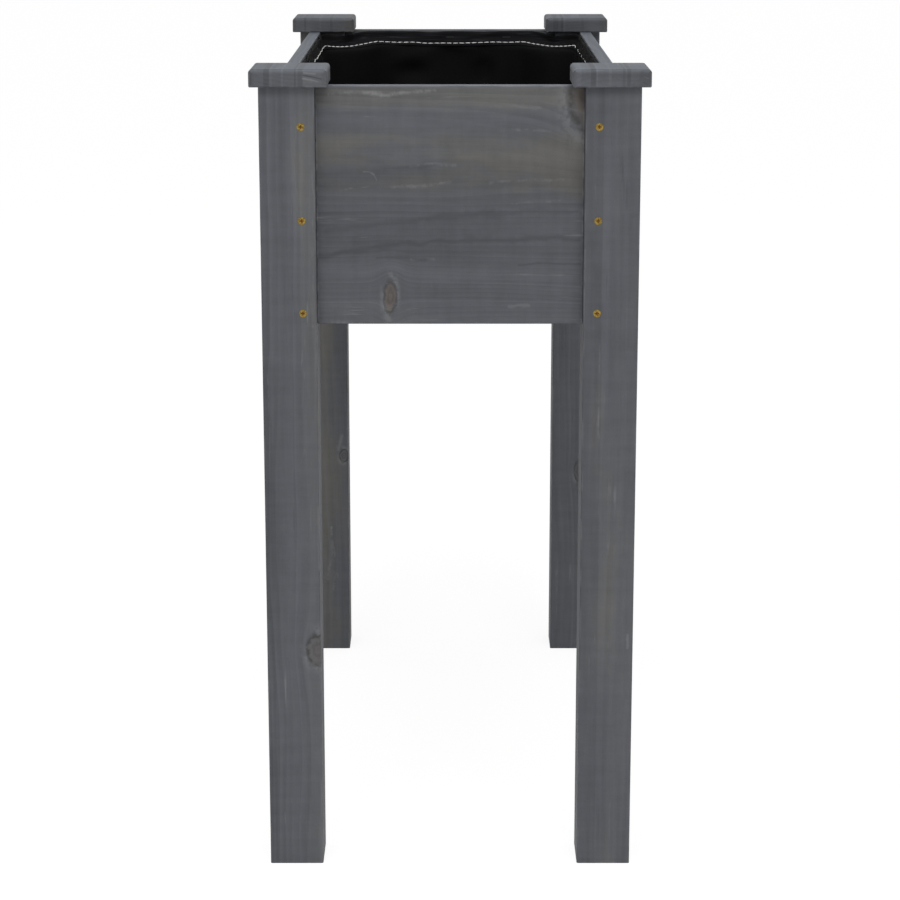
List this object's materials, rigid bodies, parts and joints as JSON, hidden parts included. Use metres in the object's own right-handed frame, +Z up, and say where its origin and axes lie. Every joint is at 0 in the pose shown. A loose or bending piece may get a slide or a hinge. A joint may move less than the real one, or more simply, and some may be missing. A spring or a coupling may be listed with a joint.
{
  "type": "raised planter",
  "caption": "Deep planting box of recessed boards between square posts that run down as legs, with overhanging caps, a slatted bottom and a cloth liner.",
  "frame": {"origin": "on the floor, under the middle of the box", "axes": "+Z up, +Y along the length towards the rear, +X to the right seen from the front"},
  "size_m": [0.4, 0.8, 0.843],
  "materials": {
    "post_wood": "slate-grey stain on planed fir, matt",
    "cap_wood": "slate-grey stain on planed fir, matt",
    "board_wood": "slate-grey stain on planed fir with knots, matt",
    "batten_wood": "slate-grey stain on sawn fir, matt",
    "cleat_wood": "slate-grey stain on sawn fir, matt",
    "slat_wood": "slate-grey stain on sawn fir, matt",
    "liner_cloth": "black non-woven cloth, matt",
    "screw_steel": "yellow zinc plating, satin",
    "dowel_wood": "plain beech",
    "staple_steel": "dark galvanised wire"
  },
  "bodies": {
    "root": {"front_left_post": "post_wood", "front_right_post": "post_wood", "rear_left_post": "post_wood", "rear_right_post": "post_wood", "front_left_cap": "cap_wood", "front_right_cap": "cap_wood", "rear_left_cap": "cap_wood", "rear_right_cap": "cap_wood", "front_board": "board_wood", "rear_board": "board_wood", "left_board": "board_wood", "right_board": "board_wood", "front_left_end_batten": "batten_wood", "front_right_end_batten": "batten_wood", "rear_left_end_batten": "batten_wood", "rear_right_end_batten": "batten_wood", "front_left_side_batten": "batten_wood", "front_right_side_batten": "batten_wood", "rear_left_side_batten": "batten_wood", "rear_right_side_batten": "batten_wood", "front_cleat": "cleat_wood", "rear_cleat": "cleat_wood", "left_cleat": "cleat_wood", "right_cleat": "cleat_wood", "bottom_slat_1": "slat_wood", "bottom_slat_2": "slat_wood", "bottom_slat_3": "slat_wood", "bottom_slat_4": "slat_wood", "bottom_slat_5": "slat_wood", "bottom_slat_6": "slat_wood", "bottom_slat_7": "slat_wood", "front_end_slat": "slat_wood", "rear_end_slat": "slat_wood", "liner": "liner_cloth", "post_end_screws": "screw_steel", "post_side_screws": "screw_steel", "batten_screws": "screw_steel", "cleat_screws": "screw_steel", "slat_screws": "screw_steel", "cap_dowels": "dowel_wood", "liner_staples": "staple_steel"}
  },
  "joints": []
}
